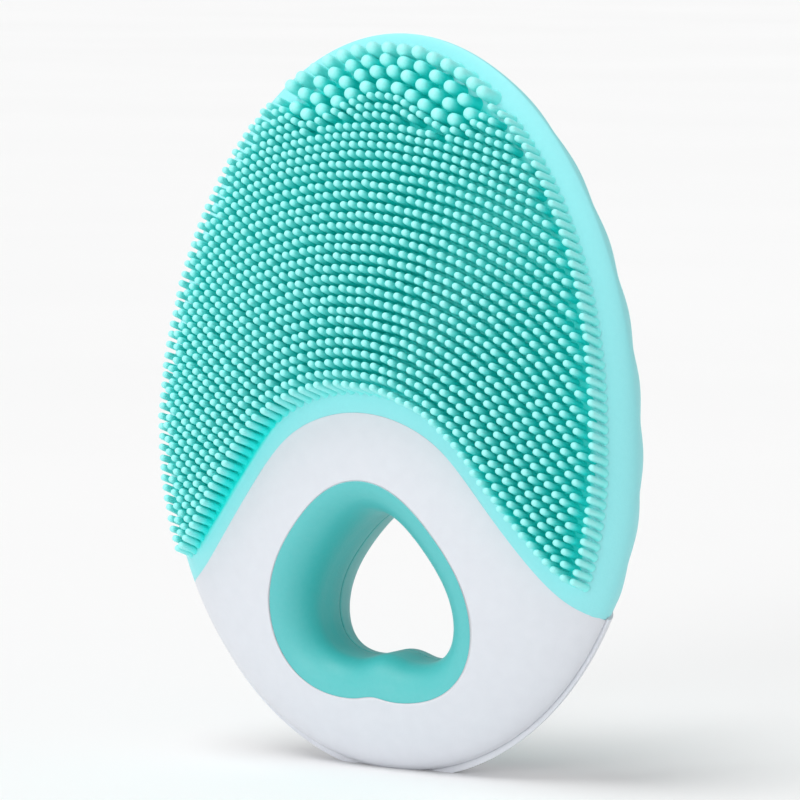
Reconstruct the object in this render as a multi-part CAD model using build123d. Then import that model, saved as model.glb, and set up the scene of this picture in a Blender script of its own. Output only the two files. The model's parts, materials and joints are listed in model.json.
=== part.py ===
from build123d import *
import math
import os

# Facial cleansing brush: an egg-shaped body with a finger hole through its wide lower end.
# Units are millimetres. +Z runs up the long axis, the bristles face -Y, and X is the width.
# Shapes are built about the parting plane, y = 0, and moved back by SEAM_Y as they are saved,
# which puts the origin at the middle of the whole depth, at the foot of the body.

# ---- Body ----
WIDTH = 80.0            # widest, across X
HEIGHT = 108.0          # foot to crown, without the bristles
WIDEST_Z = 47.0         # height at which the body is widest
FRONT_BULGE = 11.0      # depth of the front face before the parting plane
BACK_BULGE = 12.5       # depth of the back face behind the parting plane
FOOT_TRIM = 1.4         # taken off the rounded end, which leaves a small flat foot
SEAM_Y = 1.52           # the parting plane stands this far behind the origin

COVER_WALL = 2.0        # silicone cover
SHELL_WALL = 1.6        # ABS shell under the cover
INNER_INSET = COVER_WALL + SHELL_WALL

# ---- Lower edge of the silicone cover ----
# Half of a bell curve, from the middle outwards: x, and height as a share of the peak.
ARCH_CURVE = [
    (0.0, 1.0),
    (7.6, 0.95),
    (13.8, 0.815),
    (19.2, 0.595),
    (25.2, 0.33),
    (31.3, 0.105),
    (36.0, 0.01),
]
ARCH_TIP_Z = 23.6       # height of the two side tips
FRONT_ARCH_Z = 52.7     # peak of the edge on the front
BACK_ARCH_Z = 63.0      # peak of the edge on the back, above the buttons

# ---- Ridges on the back of the cover ----
RIDGE_COUNT = 8
RIDGE_FIRST_Z = 27.5
RIDGE_PITCH = 10.2
RIDGE_HALF = 11.5       # half height of the rounded roll that each ridge is the top of
RIDGE_RISE = 1.2        # how far a ridge stands out of the back face at the middle
RIDGE_SIDE_RISE = -0.3  # the same at the sides, where the rolls sink into the face
RIDGE_SHIFT = 1.5       # the rolls are centred this far behind the parting plane

# ---- Bristles ----
BRISTLE_LENGTH = 5.3
BRISTLE_LEAN = 17.0     # degrees that every bristle leans up from the horizontal
FIELD_SIDE_MARGIN = 2.6     # bare strip along the sides
FIELD_TOP_MARGIN = 1.2      # bare strip at the crown
FIELD_ARCH_MARGIN = 3.0     # bare strip above the cover's lower edge
# The thin bristles stand in upright combs on a thin web, with the volume of the round bristles.
COMB_PITCH = 1.55
COMB_WALL = 0.65
COMB_WEB = 0.4
COMB_COUNT = 23             # slits on each side of the middle
# Lower edge of the thick bristles at the crown, as x, z.
THICK_EDGE = [(-30.0, 88.0), (-15.0, 94.5), (0.0, 98.3), (15.0, 94.5), (30.0, 88.0)]

# ---- Finger hole: an upside-down rounded heart, as radius against angle ----
HOLE_Z = 25.5
HOLE_RADIUS = 16.77     # mean radius at the rim
HOLE_RISE = 0.11        # shift upwards
HOLE_OVAL = 0.45        # widening
HOLE_HEART = 1.29       # how far the three corners stand out
HOLE_SQUARE = 0.10      # flattening between them
HOLE_RIPPLE = 0.17      # evens out the sides
HOLE_LOBES = 0.50       # how far the two lobes at the bottom stand out
LOBE_ANGLE = 0.60       # and how wide they are, in radians
HOLE_CLEFT = 0.55       # depth of the cleft between them
CLEFT_ANGLE = 0.16
THROAT_CLEFT = 0.6      # the throat's floor rises this much more in the middle
THROAT_CLEFT_HALF = 3.5     # and falls away over this width on each side
HOLE_POINTS = 48
COLLAR_WALL = 1.6       # wall of both shells around the hole
COLLAR_INSET = 1.0      # the collars end this far under the body's face
THROAT_INSET = 5.5      # the throat is this much smaller all round than the rim
THROAT_FRONT_Y = -2.0   # where the front funnel ends
THROAT_BACK_Y = 4.0     # where the back funnel begins
LINER_SEAM_Y = 2.0      # joint between the two liners
LINER_WALL = 1.7
LINER_LIP = 0.5         # thickness of the liners' edge at the rim
LINER_OVERCUT = 5.0     # the opening is cut this far past the joint
FLARE_ANGLES = (90, 70, 50, 32, 16, 0)  # the funnel opens along a quarter of an ellipse
FLARE_OVERRUN = 1.3     # it is drawn on past the rim, to be cut by the body's face

# ---- Buttons, on the back above the hole ----
TRAVEL = 0.5
BUTTON_PROUD = 0.4      # the caps stand this far out of the back face
BUTTON_GAP = 0.15       # clearance around each cap
PUSHER_Y = 6.95         # where each button ends, just clear of its switch
POWER = dict(x=0.0, z=54.0, radius=4.2, flange=5.2, flange_y=7.8, flange_wall=0.7)
SIDE = dict(x=13.0, z=50.0, radius=3.0, flange=3.8, flange_y=6.95, flange_wall=0.65)
PUSHER_RADIUS = 1.5

# ---- Circuit board ----
BOARD_Y = 4.4           # front face of the board
BOARD_WALL = 1.0
BOARD_LOW_Z = 47.0
BOARD_HIGH_Z = 61.2
BOARD_HALF = 20.0
BOARD_BACK_Y = BOARD_Y + BOARD_WALL
BOARD_SCREW_X = 17.5
BOARD_SCREW_Z = 58.6
BOARD_CORNER = 1.5
SWITCH_SIZE = 3.6
SWITCH_HEIGHT = 1.0
SWITCH_NUB = 0.3        # the part of that height that moves
SWITCH_NUB_RADIUS = 1.0
CHIP_HEIGHT = 0.9
# Left, right, lower and upper edges of the controller, the charger and a filter capacitor.
CHIPS = [(-14.0, -9.0, 49.5, 54.5), (9.5, 12.5, 50.0, 53.5), (-6.5, -4.5, 49.0, 52.2)]
LED_HALF_WIDTH = 0.8
LED_HALF_HEIGHT = 0.5
LED_DEPTH = 0.6
LIGHT_GAP = 0.2         # between the LED and the light pipe
LIGHT_Z = 60.3          # indicator light, above the power button
LIGHT_RADIUS = 0.9

# ---- Motor, with its axis along Z ----
MOTOR_Y = -0.4
MOTOR_RADIUS = 4.5
MOTOR_LOW_Z = 64.0
MOTOR_HIGH_Z = 82.0
MOTOR_EDGE = 0.6        # rounding of the can's two rims
MOTOR_NOSE = 0.8        # length of the bearing nose below the can
MOTOR_NOSE_RADIUS = 1.8
BOOT_WALL = 0.5
BOOT_SHORT = 1.2        # the rubber boot stops this far from both ends of the can
SHAFT_RADIUS = 0.75
SHAFT_GAP = 0.05
SHAFT_END_GAP = 0.3
SHAFT_LOW_Z = 55.8
SHAFT_HIGH_Z = 78.0
WEIGHT_RADIUS = 4.1
WEIGHT_HUB = 1.7
WEIGHT_LOW_Z = 56.4
WEIGHT_HIGH_Z = 61.4

# ---- Chassis, the plate that carries the motor, the cell and the board ----
CHASSIS_Y = 1.6
CHASSIS_WALL = 1.2
CHASSIS_BACK_Y = CHASSIS_Y + CHASSIS_WALL
CHASSIS_HALF = 25.0
CHASSIS_LOW_Z = 46.6
CHASSIS_HIGH_Z = 88.0
SLOT_HALF = 5.6
SLOT_LOW_Z = 55.0
SLOT_HIGH_Z = 82.8
CHASSIS_GAP = 0.4       # clearance to the rear shell
CHASSIS_SCREWS = [(-22.6, 50.0), (22.6, 50.0), (0.0, 85.4)]
STRAP_LEVELS = (66.5, 77.5)     # two straps hold the motor
STRAP_HEIGHT = 2.0
STRAP_WALL = 1.0
STRAP_WRAP = 1.5        # how far the straps run past the motor's axis

# ---- Cell and charging coil ----
CELL = dict(x=-16.0, z=67.0, width=16.0, height=22.0, depth=4.4)
CELL_CORNER = 1.4
CELL_PAD = 0.6
PAD_MARGIN_X = 1.5      # the pad is this much smaller than the cell on each side
PAD_MARGIN_Z = 1.0
COIL_X = 16.0
COIL_Z = 71.0
COIL_RADIUS = 8.6
COIL_HOLE = 4.4
COIL_WALL = 0.8
FERRITE_WALL = 0.5
FERRITE_HALF = 9.2
FERRITE_CORNER = 3.0

# ---- Fasteners and leads ----
SCREW_RADIUS = 1.0
HEAD_RADIUS = 1.9
HEAD_HEIGHT = 1.3
SLOT_REACH = 1.2        # half length of the slot in a head
SLOT_WALL = 0.5
SLOT_DEPTH = 0.5
THIN_HEAD_HEIGHT = 0.9  # heads of the board screws
CHASSIS_GRIP = 3.2      # how far the chassis screws run into the rear shell
HOLE_SPARE = 0.2        # spare depth below their tips
BOSS_RADIUS = 2.6
SMALL_BOSS_RADIUS = 2.1
# Each housing screw: x, z, the y of the seat under its head, the y of its tip.
HOUSING_SCREWS = [
    (-29.5, 57.0, 4.1, -3.4),
    (29.5, 57.0, 4.1, -3.4),
    (-13.5, 93.5, 3.0, -2.6),
    (13.5, 93.5, 3.0, -2.6),
]
LEAD_RADIUS = 0.4
LEAD_LOW_Z = 45.2       # the leads pass below the chassis at this height
LEAD_RISE_Y = 3.4       # and climb to the board here
LEAD_PAD_Z = 48.0
CELL_LEAD_X = (-18.5, -15.5)
MOTOR_LEAD_START_X = 1.6
MOTOR_LEAD_X = 7.2
MOTOR_LEAD_Y = -4.6
MOTOR_LEAD_RISE = 1.6
COIL_LEAD_X = (11.5, 13.5)
CELL_LEAD_BENDS = [2.0, 1.8, 0.6]
MOTOR_LEAD_BENDS = [1.2, 2.5, 3.0, 1.8, 0.6]
COIL_LEAD_BENDS = [0.45]
COIL_PAD_Z = 60.0
SEAL_OUTER = 2.5        # the seal lies between these two insets of the outline
SEAL_INNER = 3.1
SEAL_HALF = 0.6         # half its depth

REACH = 60.0            # longer than the body is deep, for cutting right through


# ---------------------------------------------------------------- shapes used by many parts

def quarter(half_width, height, upwards):
    """A quarter ellipse of the XZ outline, above or below the widest level."""
    if upwards:
        return EllipticalCenterArc((0, WIDEST_Z), half_width, height, 0, arc_size=90)
    return EllipticalCenterArc((0, WIDEST_Z), half_width, height, 270, arc_size=90)


def half_profile(inset):
    """The right half of the outline, as a face in the XZ plane."""
    half_width = WIDTH / 2 - inset
    upper = HEIGHT - WIDEST_Z - inset
    lower = WIDEST_Z + FOOT_TRIM - inset
    edges = Curve() + [
        quarter(half_width, lower, False),
        quarter(half_width, upper, True),
        Line((0, WIDEST_Z + upper), (0, WIDEST_Z - lower)),
    ]
    return Plane.XZ * make_face(edges)


def half_egg(inset, front):
    """Front or back half of the body, drawn in from its surface by inset."""
    round_half = revolve(half_profile(inset), Axis.Z, 180)
    if (round_half.center().Y < 0) != front:
        round_half = round_half.mirror(Plane.XZ)
    bulge = FRONT_BULGE if front else BACK_BULGE
    flattening = (bulge - inset) / (WIDTH / 2 - inset)
    return scale(round_half, by=(1, flattening, 1), about=(0, 0, 0))


def prism(face, y_from, y_to):
    """A face drawn in the XZ plane, run along Y between two values."""
    return Pos(0, y_from, 0) * extrude(face, y_to - y_from, dir=(0, 1, 0))


def block(x_from, x_to, y_from, y_to, z_from, z_to):
    size = (x_to - x_from, y_to - y_from, z_to - z_from)
    middle = ((x_from + x_to) / 2, (y_from + y_to) / 2, (z_from + z_to) / 2)
    return Pos(*middle) * Box(*size)


def rod(x, z, radius, y_from, y_to):
    """A round bar along Y."""
    return Pos(x, (y_from + y_to) / 2, z) * Rot(90, 0, 0) * Cylinder(radius, y_to - y_from)


def upright(x, y, radius, z_from, z_to):
    """A round bar along Z."""
    return Pos(x, y, (z_from + z_to) / 2) * Cylinder(radius, z_to - z_from)


def arch_face(peak, lift=0.0):
    """Everything above the bell curve, as a face in the XZ plane."""
    half = [(x, ARCH_TIP_Z + lift + share * (peak - ARCH_TIP_Z)) for x, share in ARCH_CURVE]
    points = [(-x, z) for x, z in reversed(half[1:])] + half
    return above_curve(points)


def above_curve(points):
    """Everything above a curve through points that runs from left to right."""
    left_x, edge_z = points[0]
    right_x = points[-1][0]
    top = HEIGHT + REACH
    edges = Curve() + [
        Spline(*points),
        Polyline(
            (right_x, edge_z),
            (REACH, edge_z),
            (REACH, top),
            (-REACH, top),
            (-REACH, edge_z),
            (left_x, edge_z),
        ),
    ]
    return Plane.XZ * make_face(edges)


def above_arch(front, lift=0.0):
    """The part of space, on one side of the parting plane, that the cover fills."""
    if front:
        return prism(arch_face(FRONT_ARCH_Z, lift), -REACH, 0)
    return prism(arch_face(BACK_ARCH_Z, lift), 0, REACH)


def heart_point(angle, inset):
    """A point of the hole's outline, moved inwards along the outline's own normal."""
    low = (angle + 1.5 * math.pi) % (2 * math.pi) - math.pi
    lobes = HOLE_LOBES * math.exp(-((low / LOBE_ANGLE) ** 2))
    cleft = HOLE_CLEFT * math.exp(-((low / CLEFT_ANGLE) ** 2))
    radius = (
        HOLE_RADIUS
        + HOLE_RISE * math.sin(angle)
        + HOLE_OVAL * math.cos(2 * angle)
        - HOLE_HEART * math.sin(3 * angle)
        - HOLE_SQUARE * math.cos(4 * angle)
        + HOLE_RIPPLE * math.sin(5 * angle)
        + lobes
        - cleft
    )
    growth = (
        HOLE_RISE * math.cos(angle)
        - 2 * HOLE_OVAL * math.sin(2 * angle)
        - 3 * HOLE_HEART * math.cos(3 * angle)
        + 4 * HOLE_SQUARE * math.sin(4 * angle)
        + 5 * HOLE_RIPPLE * math.cos(5 * angle)
        - 2 * low * (lobes / LOBE_ANGLE**2 - cleft / CLEFT_ANGLE**2)
    )
    normal_x = radius * math.cos(angle) + growth * math.sin(angle)
    normal_z = radius * math.sin(angle) - growth * math.cos(angle)
    length = math.hypot(normal_x, normal_z)
    x = radius * math.cos(angle) - inset * normal_x / length
    z = HOLE_Z + radius * math.sin(angle) - inset * normal_z / length
    if math.sin(angle) < 0:
        z += THROAT_CLEFT * inset / THROAT_INSET * math.exp(-((x / THROAT_CLEFT_HALF) ** 2))
    return x, z


def heart_wire(inset, depth_at):
    """The hole's outline as a closed curve; depth_at gives y for a height z."""
    angles = [2 * math.pi * i / HOLE_POINTS for i in range(HOLE_POINTS)]
    corners = [heart_point(angle, inset) for angle in angles]
    return Wire([Spline(*[(x, depth_at(z), z) for x, z in corners], periodic=True)])


def heart_prism(inset, y_from, y_to):
    face = Face(heart_wire(inset, lambda z: y_from))
    return extrude(face, y_to - y_from, dir=(0, 1, 0))


def surface_y(z, front):
    """Depth of the body's face on the middle plane at height z."""
    bulge = -FRONT_BULGE if front else BACK_BULGE
    reach = WIDEST_Z + FOOT_TRIM
    return bulge * math.sqrt(1 - ((WIDEST_Z - z) / reach) ** 2)


def rim_y(z, front):
    """Depth of the slanting plane that passes through the rim's top and bottom."""
    low_z = heart_point(-math.pi / 2, 0)[1]
    high_z = heart_point(math.pi / 2, 0)[1]
    low_y = surface_y(low_z, front)
    high_y = surface_y(high_z, front)
    return low_y + (high_y - low_y) * (z - low_z) / (high_z - low_z)


def funnel(levels, front, end_y):
    """A flaring plug through one half of the hole, from (share of depth, inset) levels."""
    throat_y = THROAT_FRONT_Y if front else THROAT_BACK_Y
    sections = [Face(heart_wire(levels[0][1], lambda z: end_y))]
    for share, inset in levels:
        sections.append(Face(heart_wire(inset, lambda z: throat_y + share * (rim_y(z, front) - throat_y))))
    return loft(sections, ruled=True)


# ---------------------------------------------------------------- outer pieces

def make_ridges():
    """Rounded rolls across the back, each a flattened ball that stands a little out of the back face."""
    rolls = []
    for index in range(RIDGE_COUNT):
        z = RIDGE_FIRST_Z + index * RIDGE_PITCH
        reach = HEIGHT - WIDEST_Z if z > WIDEST_Z else WIDEST_Z + FOOT_TRIM
        share = math.sqrt(1 - ((z - WIDEST_Z) / reach) ** 2)
        half_width = WIDTH / 2 * share + RIDGE_SIDE_RISE
        depth = BACK_BULGE * share + RIDGE_RISE - RIDGE_SHIFT
        rolls.append(Pos(0, RIDGE_SHIFT, z) * scale(Sphere(1), by=(half_width, depth, RIDGE_HALF * share)))
    return rolls


def make_cover():
    front = (half_egg(0, True) - half_egg(COVER_WALL, True)) & above_arch(True)
    back = half_egg(0, False)
    for roll in make_ridges():
        back = back + roll
    back = (back - half_egg(COVER_WALL, False)) & above_arch(False)
    return front + back


def bristle_field(thick):
    """Outline of one bristle field, as a prism along Y."""
    tall = HEIGHT - FIELD_TOP_MARGIN - WIDEST_Z
    wide = WIDTH / 2 - FIELD_SIDE_MARGIN
    low = WIDEST_Z - FIELD_SIDE_MARGIN
    outline = Curve() + [
        EllipticalCenterArc((0, WIDEST_Z), wide, tall, 0, arc_size=180),
        EllipticalCenterArc((0, WIDEST_Z), wide, low, 180, arc_size=180),
    ]
    field = prism(Plane.XZ * make_face(outline), -REACH, 0) & above_arch(True, FIELD_ARCH_MARGIN)
    crescent = prism(above_curve(THICK_EDGE), -REACH, 0)
    return field & crescent if thick else field - crescent


def make_slits():
    """The gaps between the combs, as blocks that stop short of the cover."""
    half = (COMB_PITCH - COMB_WALL) / 2
    slits = []
    for index in range(COMB_COUNT):
        x = (index + 0.5) * COMB_PITCH
        for middle in (-x, x):
            slits.append(block(middle - half, middle + half, -REACH, 0, 0, HEIGHT + REACH))
    return Compound(slits) - half_egg(-COMB_WEB, True)


def make_bristles(thick):
    """The space that a field of bristles fills, from the cover out to the tips."""
    lean = math.radians(BRISTLE_LEAN)
    out = BRISTLE_LENGTH * math.cos(lean)
    up = BRISTLE_LENGTH * math.sin(lean)
    tips = Pos(0, -out, up) * half_egg(0, True)
    raised = Pos(0, 0, up / 2) * bristle_field(thick)
    field = (tips & raised) - half_egg(0, True)
    return field if thick else field - make_slits()


def make_housing(front):
    """One ABS shell: stepped in under the cover, with a collar around the finger hole."""
    outer = half_egg(0, front) - above_arch(front)
    shell = outer + half_egg(COVER_WALL, front)
    inner = half_egg(INNER_INSET, front)
    side = -REACH if front else REACH
    low, high = min(side, 0), max(side, 0)
    collar = heart_prism(-COLLAR_WALL, low, high) & half_egg(COLLAR_INSET, front)
    shell = shell - inner + collar
    for x, z, seat, tip in HOUSING_SCREWS:
        shell = shell + (rod(x, z, BOSS_RADIUS, low, high) & half_egg(COVER_WALL, front))
        if front:
            shell = shell - rod(x, z, SCREW_RADIUS, tip, 0)
        else:
            shell = shell - rod(x, z, SCREW_RADIUS, 0, REACH) - rod(x, z, HEAD_RADIUS, seat, REACH)
    if not front:
        for x, z in CHASSIS_SCREWS:
            shell = shell + (rod(x, z, SMALL_BOSS_RADIUS, CHASSIS_BACK_Y, high) & half_egg(COVER_WALL, front))
            shell = shell - rod(x, z, SCREW_RADIUS, 0, CHASSIS_BACK_Y + CHASSIS_GRIP + HOLE_SPARE)
        for cap in button_places():
            shell = shell - rod(cap["x"], cap["z"], cap["radius"] + BUTTON_GAP, 0, REACH)
        shell = shell - rod(0, LIGHT_Z, LIGHT_RADIUS, 0, REACH)
    shell = shell - heart_prism(0, low, high) - seal_ring()
    return shell - block(-WIDTH, WIDTH, -REACH, REACH, -REACH, 0)


def seal_ring():
    """Seal between the two shells, a thin band along the outline."""
    def outline(inset):
        half = half_profile(inset)
        return half + half.mirror(Plane.YZ)
    return prism(outline(SEAL_OUTER) - outline(SEAL_INNER), -SEAL_HALF, SEAL_HALF)


def make_liner(front):
    """Flared lining of the finger hole, front or back."""
    turns = [math.radians(angle) for angle in FLARE_ANGLES]
    inner_levels = [(math.cos(turn), max(LINER_LIP, THROAT_INSET * math.sin(turn))) for turn in turns]
    inner_levels.append((FLARE_OVERRUN, LINER_LIP))
    outer_levels = [(s, max(0.0, inset - LINER_WALL)) for s, inset in inner_levels]
    end = LINER_SEAM_Y
    over = end + LINER_OVERCUT if front else end - LINER_OVERCUT
    outer = funnel(outer_levels, front, end)
    inner = funnel(inner_levels, front, over)
    core = half_egg(0, True) + half_egg(0, False)
    return (outer & core) - inner


# ---------------------------------------------------------------- buttons

def button_places():
    left = dict(SIDE, x=-SIDE["x"])
    return [POWER, SIDE, left]


def make_button(cap):
    """A cap that follows the back face, a flange that keeps it in, and a pusher for the switch."""
    stem = rod(cap["x"], cap["z"], cap["radius"], cap["flange_y"], REACH) & half_egg(-BUTTON_PROUD, False)
    flange = rod(cap["x"], cap["z"], cap["flange"], cap["flange_y"], cap["flange_y"] + cap["flange_wall"])
    button = stem + flange
    if cap["flange_y"] > PUSHER_Y:
        button = button + rod(cap["x"], cap["z"], PUSHER_RADIUS, PUSHER_Y, cap["flange_y"])
    return button


# ---------------------------------------------------------------- inside

def make_chassis():
    plate = block(-CHASSIS_HALF, CHASSIS_HALF, CHASSIS_Y, CHASSIS_BACK_Y, CHASSIS_LOW_Z, CHASSIS_HIGH_Z)
    plate = plate & half_egg(INNER_INSET + CHASSIS_GAP, False)
    plate = plate - block(-SLOT_HALF, SLOT_HALF, -REACH, REACH, SLOT_LOW_Z, SLOT_HIGH_Z)
    boot = MOTOR_RADIUS + BOOT_WALL
    for low in STRAP_LEVELS:
        high = low + STRAP_HEIGHT
        strap = upright(0, MOTOR_Y, boot + STRAP_WALL, low, high) - upright(0, MOTOR_Y, boot, low, high)
        plate = plate + (strap & block(-REACH, REACH, MOTOR_Y - STRAP_WRAP, CHASSIS_BACK_Y, low, high))
    for x in (-BOARD_SCREW_X, BOARD_SCREW_X):
        plate = plate + rod(x, BOARD_SCREW_Z, SMALL_BOSS_RADIUS, CHASSIS_BACK_Y, BOARD_Y)
        plate = plate - rod(x, BOARD_SCREW_Z, SCREW_RADIUS, CHASSIS_Y, BOARD_Y)
    for x, z in CHASSIS_SCREWS:
        plate = plate - rod(x, z, SCREW_RADIUS, CHASSIS_Y, CHASSIS_BACK_Y)
    return plate


def make_board():
    board = block(-BOARD_HALF, BOARD_HALF, BOARD_Y, BOARD_BACK_Y, BOARD_LOW_Z, BOARD_HIGH_Z)
    board = fillet(board.edges().filter_by(Axis.Y), BOARD_CORNER)
    for x in (-BOARD_SCREW_X, BOARD_SCREW_X):
        board = board - rod(x, BOARD_SCREW_Z, SCREW_RADIUS, BOARD_Y, BOARD_BACK_Y)
    return board


def make_switches():
    """One tact switch under each button."""
    switches = []
    half = SWITCH_SIZE / 2
    top = BOARD_BACK_Y + SWITCH_HEIGHT
    shoulder = top - SWITCH_NUB
    for cap in button_places():
        x, z = cap["x"], cap["z"]
        base = block(x - half, x + half, BOARD_BACK_Y, shoulder, z - half, z + half)
        switches.append(base + rod(x, z, SWITCH_NUB_RADIUS, shoulder, top))
    return Compound(switches)


def make_chips():
    """Controller, charger and a filter capacitor, on the side of the board that faces the chassis."""
    chips = []
    for left, right, low, high in CHIPS:
        chips.append(block(left, right, BOARD_Y - CHIP_HEIGHT, BOARD_Y, low, high))
    return Compound(chips)


def make_motor():
    can = upright(0, MOTOR_Y, MOTOR_RADIUS, MOTOR_LOW_Z, MOTOR_HIGH_Z)
    can = fillet(can.edges().filter_by(GeomType.CIRCLE), MOTOR_EDGE)
    low = MOTOR_LOW_Z - MOTOR_NOSE
    nose = upright(0, MOTOR_Y, MOTOR_NOSE_RADIUS, low, MOTOR_LOW_Z)
    bore = upright(0, MOTOR_Y, SHAFT_RADIUS + SHAFT_GAP, low, SHAFT_HIGH_Z + SHAFT_END_GAP)
    return can + nose - bore


def make_boot():
    low = MOTOR_LOW_Z + BOOT_SHORT
    high = MOTOR_HIGH_Z - BOOT_SHORT
    sleeve = upright(0, MOTOR_Y, MOTOR_RADIUS + BOOT_WALL, low, high)
    return sleeve - upright(0, MOTOR_Y, MOTOR_RADIUS, low, high)


def make_weight():
    """A half disc on the shaft, which shakes the brush as it turns."""
    low = WEIGHT_LOW_Z
    high = WEIGHT_HIGH_Z
    disc = upright(0, MOTOR_Y, WEIGHT_RADIUS, low, high)
    heavy = disc & block(-REACH, REACH, MOTOR_Y - REACH, MOTOR_Y, low, high)
    hub = upright(0, MOTOR_Y, WEIGHT_HUB, low, high)
    return heavy + hub - upright(0, MOTOR_Y, SHAFT_RADIUS, low, high)


def make_cell():
    back = CHASSIS_Y - CELL_PAD
    cell = block(CELL["x"] - CELL["width"] / 2, CELL["x"] + CELL["width"] / 2, back - CELL["depth"], back,
                 CELL["z"] - CELL["height"] / 2, CELL["z"] + CELL["height"] / 2)
    return fillet(cell.edges().filter_by(Axis.Z), CELL_CORNER)


def make_cell_pad():
    half = CELL["width"] / 2 - PAD_MARGIN_X
    tall = CELL["height"] / 2 - PAD_MARGIN_Z
    return block(CELL["x"] - half, CELL["x"] + half, CHASSIS_Y - CELL_PAD, CHASSIS_Y,
                 CELL["z"] - tall, CELL["z"] + tall)


def make_ferrite():
    sheet = block(COIL_X - FERRITE_HALF, COIL_X + FERRITE_HALF, CHASSIS_BACK_Y, CHASSIS_BACK_Y + FERRITE_WALL,
                  COIL_Z - FERRITE_HALF, COIL_Z + FERRITE_HALF)
    return fillet(sheet.edges().filter_by(Axis.Y), FERRITE_CORNER)


def make_coil():
    front = CHASSIS_BACK_Y + FERRITE_WALL
    back = front + COIL_WALL
    return rod(COIL_X, COIL_Z, COIL_RADIUS, front, back) - rod(COIL_X, COIL_Z, COIL_HOLE, front, back)


def make_housing_screws():
    """Cross-head screws, driven from the back."""
    screws = []
    for x, z, seat, tip in HOUSING_SCREWS:
        top = seat + HEAD_HEIGHT
        screw = rod(x, z, SCREW_RADIUS, tip, seat) + rod(x, z, HEAD_RADIUS, seat, top)
        for half_x, half_z in ((SLOT_REACH, SLOT_WALL / 2), (SLOT_WALL / 2, SLOT_REACH)):
            screw = screw - block(x - half_x, x + half_x, top - SLOT_DEPTH, top, z - half_z, z + half_z)
        screws.append(screw)
    return Compound(screws)


def make_chassis_screws():
    """Slotted screws that hold the chassis to the rear shell, driven from the front."""
    screws = []
    top = CHASSIS_Y - HEAD_HEIGHT
    half = SLOT_WALL / 2
    for x, z in CHASSIS_SCREWS:
        shank = rod(x, z, SCREW_RADIUS, CHASSIS_Y, CHASSIS_BACK_Y + CHASSIS_GRIP)
        head = rod(x, z, HEAD_RADIUS, top, CHASSIS_Y)
        slot = block(x - SLOT_REACH, x + SLOT_REACH, top, top + SLOT_DEPTH, z - half, z + half)
        screws.append(shank + head - slot)
    return Compound(screws)


def make_board_screws():
    screws = []
    for x in (-BOARD_SCREW_X, BOARD_SCREW_X):
        shank = rod(x, BOARD_SCREW_Z, SCREW_RADIUS, CHASSIS_Y, BOARD_BACK_Y)
        head = rod(x, BOARD_SCREW_Z, HEAD_RADIUS, BOARD_BACK_Y, BOARD_BACK_Y + THIN_HEAD_HEIGHT)
        screws.append(shank + head)
    return Compound(screws)


def make_led():
    low = LIGHT_Z - LED_HALF_HEIGHT
    high = LIGHT_Z + LED_HALF_HEIGHT
    return block(-LED_HALF_WIDTH, LED_HALF_WIDTH, BOARD_BACK_Y, BOARD_BACK_Y + LED_DEPTH, low, high)


def make_light_pipe():
    front = BOARD_BACK_Y + LED_DEPTH + LIGHT_GAP
    return rod(0, LIGHT_Z, LIGHT_RADIUS, front, REACH) & half_egg(0, False)


def lead(points, bends):
    """One insulated wire along straight runs joined by arcs, one bend radius for each corner."""
    path = FilletPolyline(*points, radius=bends)
    start = Plane(origin=path @ 0, z_dir=path % 0)
    return sweep(start * Circle(LEAD_RADIUS), path)


def make_cell_leads():
    """Two wires from the foot of the cell, under the chassis and up to the board."""
    wires = []
    y = CHASSIS_Y - CELL_PAD - CELL["depth"] / 2
    foot = CELL["z"] - CELL["height"] / 2
    for x in CELL_LEAD_X:
        points = [
            (x, y, foot),
            (x, y, LEAD_LOW_Z),
            (x, LEAD_RISE_Y, LEAD_LOW_Z),
            (x, LEAD_RISE_Y, LEAD_PAD_Z),
            (x, BOARD_Y, LEAD_PAD_Z),
        ]
        wires.append(lead(points, CELL_LEAD_BENDS))
    return Compound(wires)


def make_motor_leads():
    """Two wires from the top of the motor, down beside it, under the chassis and up to the board."""
    wires = []
    for side in (-1, 1):
        x = side * MOTOR_LEAD_START_X
        far = side * MOTOR_LEAD_X
        over = MOTOR_HIGH_Z + MOTOR_LEAD_RISE
        points = [
            (x, MOTOR_Y, MOTOR_HIGH_Z),
            (x, MOTOR_Y, over),
            (far, MOTOR_LEAD_Y, over),
            (far, MOTOR_LEAD_Y, LEAD_LOW_Z),
            (far, LEAD_RISE_Y, LEAD_LOW_Z),
            (far, LEAD_RISE_Y, LEAD_PAD_Z),
            (far, BOARD_Y, LEAD_PAD_Z),
        ]
        wires.append(lead(points, MOTOR_LEAD_BENDS))
    return Compound(wires)


def make_coil_leads():
    """Two short wires from the lower edge of the charging coil to the board."""
    wires = []
    y = CHASSIS_BACK_Y + FERRITE_WALL + COIL_WALL / 2
    for x in COIL_LEAD_X:
        edge = COIL_Z - math.sqrt(COIL_RADIUS ** 2 - (x - COIL_X) ** 2)
        points = [(x, y, edge - LEAD_RADIUS), (x, y, COIL_PAD_Z), (x, BOARD_Y, COIL_PAD_Z)]
        wires.append(lead(points, COIL_LEAD_BENDS))
    return Compound(wires)


# ---------------------------------------------------------------- saving

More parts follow.
